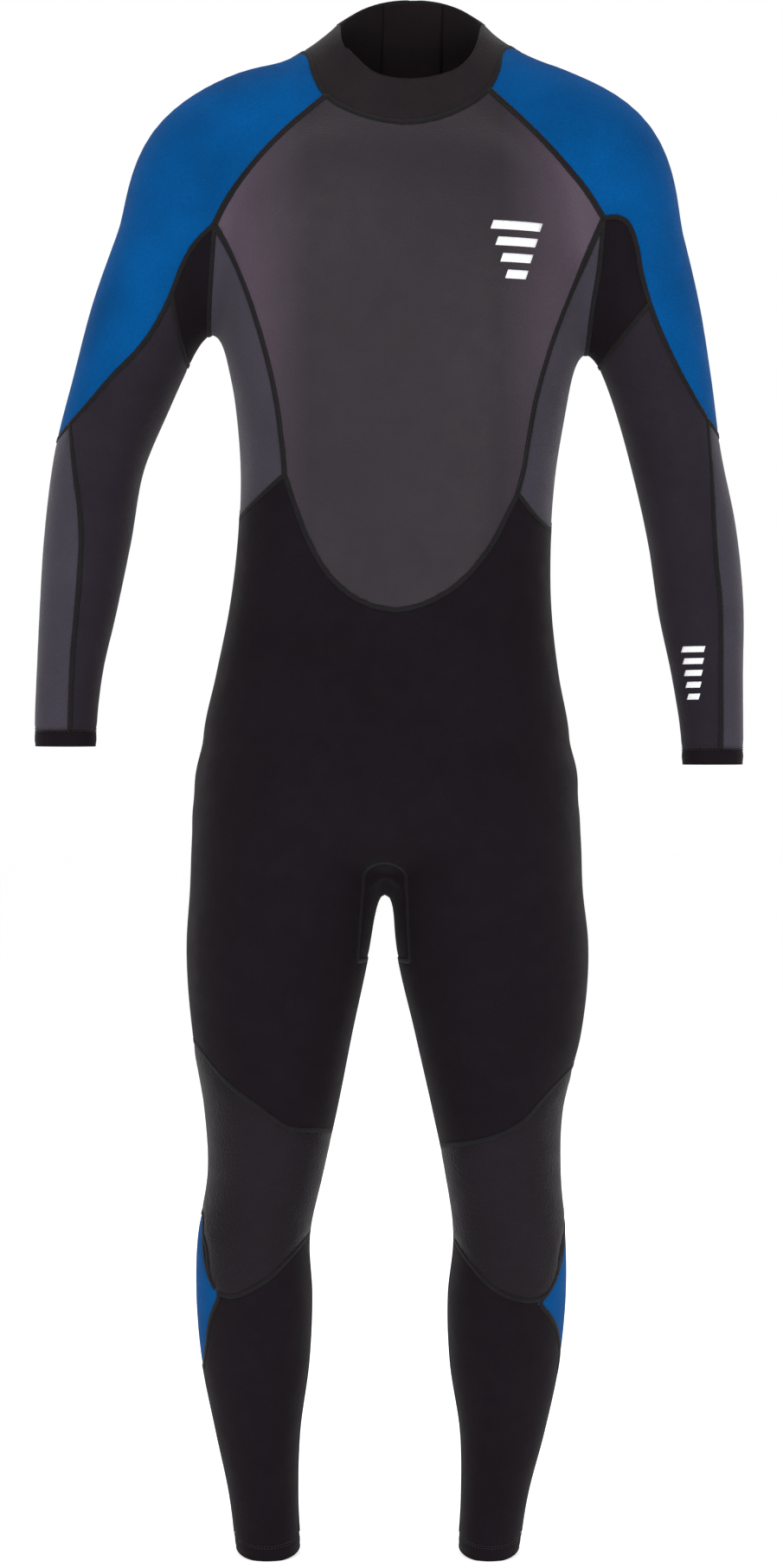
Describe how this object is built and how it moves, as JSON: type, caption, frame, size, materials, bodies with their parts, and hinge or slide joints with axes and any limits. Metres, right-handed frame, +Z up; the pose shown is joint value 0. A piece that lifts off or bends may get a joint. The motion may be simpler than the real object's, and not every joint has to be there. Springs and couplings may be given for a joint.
{
  "type": "full wetsuit",
  "caption": "Full-length neoprene wetsuit with long sleeves and legs, raglan shoulders, smooth-skin chest, knee pads and a back zip.",
  "frame": {"origin": "middle of the bottom of the bounding box, between the ankle hems", "axes": "+Z up along the body, -Y out of the chest, +X to the wearer's left"},
  "size_m": [0.664, 0.236, 1.4901],
  "materials": {
    "black_jersey": "matt nylon jersey over foam neoprene",
    "charcoal_jersey": "matt nylon jersey over foam neoprene",
    "slate_jersey": "matt nylon jersey over foam neoprene",
    "blue_jersey": "matt nylon jersey over foam neoprene",
    "smooth_skin": "smooth-skin mesh neoprene with a soft sheen",
    "knee_rubber": "abrasion-resistant printed neoprene",
    "seam_tape": "stitched binding over the seams",
    "lining_jersey": "brushed lining jersey",
    "zip_tape": "woven polyester tape",
    "zip_plastic": "moulded acetal",
    "slider_metal": "black coated die casting",
    "print_white": "screen-printed ink",
    "hook_and_loop": "hook-and-loop tape"
  },
  "bodies": {
    "suit": {"ankle_hem_left": "black_jersey", "ankle_hem_right": "black_jersey", "back_panel_left": "black_jersey", "back_panel_right": "black_jersey", "calf_back_left": "black_jersey", "calf_back_right": "black_jersey", "calf_panel_left": "blue_jersey", "calf_panel_right": "blue_jersey", "chest_panel": "smooth_skin", "chest_piping_left": "seam_tape", "chest_piping_right": "seam_tape", "collar": "black_jersey", "crotch_gusset": "black_jersey", "cuff_hem_left": "black_jersey", "cuff_hem_right": "black_jersey", "forearm_outer_left": "slate_jersey", "forearm_outer_right": "slate_jersey", "front_trunk_panel": "black_jersey", "knee_back_left": "black_jersey", "knee_back_right": "black_jersey", "knee_pad_left": "knee_rubber", "knee_pad_right": "knee_rubber", "loop_patch": "hook_and_loop", "raglan_piping_back_left": "seam_tape", "raglan_piping_back_right": "seam_tape", "raglan_piping_front_left": "seam_tape", "raglan_piping_front_right": "seam_tape", "seat_panel": "black_jersey", "shin_panel_left": "black_jersey", "shin_panel_right": "black_jersey", "shoulder_panel_left": "blue_jersey", "shoulder_panel_right": "blue_jersey", "side_panel_left": "slate_jersey", "side_panel_right": "slate_jersey", "sleeve_inner_left": "charcoal_jersey", "sleeve_inner_right": "charcoal_jersey", "underarm_gusset_left": "black_jersey", "underarm_gusset_right": "black_jersey", "zip_flap": "lining_jersey", "zip_stop_bottom": "zip_plastic", "zip_stop_top": "zip_plastic", "zip_tape_left": "zip_tape", "zip_tape_right": "zip_tape", "zip_teeth_left": "zip_plastic", "zip_teeth_right": "zip_plastic"},
    "slider": {"zip_slider": "slider_metal"},
    "pull": {"zip_pull": "slider_metal"},
    "tab": {"collar_tab": "black_jersey", "hook_patch": "hook_and_loop"}
  },
  "joints": [
    {"name": "zip_slide", "type": "slide", "parent": "suit", "child": "slider", "axis": [-0.0315, 0, -0.9995], "range_m": [0, 0.368]},
    {"name": "pull_swing", "type": "hinge", "parent": "slider", "child": "pull", "pos_m": [0.01833, 0.10276, 1.37133], "axis": [0.9995, 0, -0.0315], "range_deg": [0, 170]},
    {"name": "tab_peel", "type": "hinge", "parent": "suit", "child": "tab", "pos_m": [-0.01339, 0.07596, 1.45232], "axis": [0, 0, 1], "range_deg": [0, 70]}
  ]
}
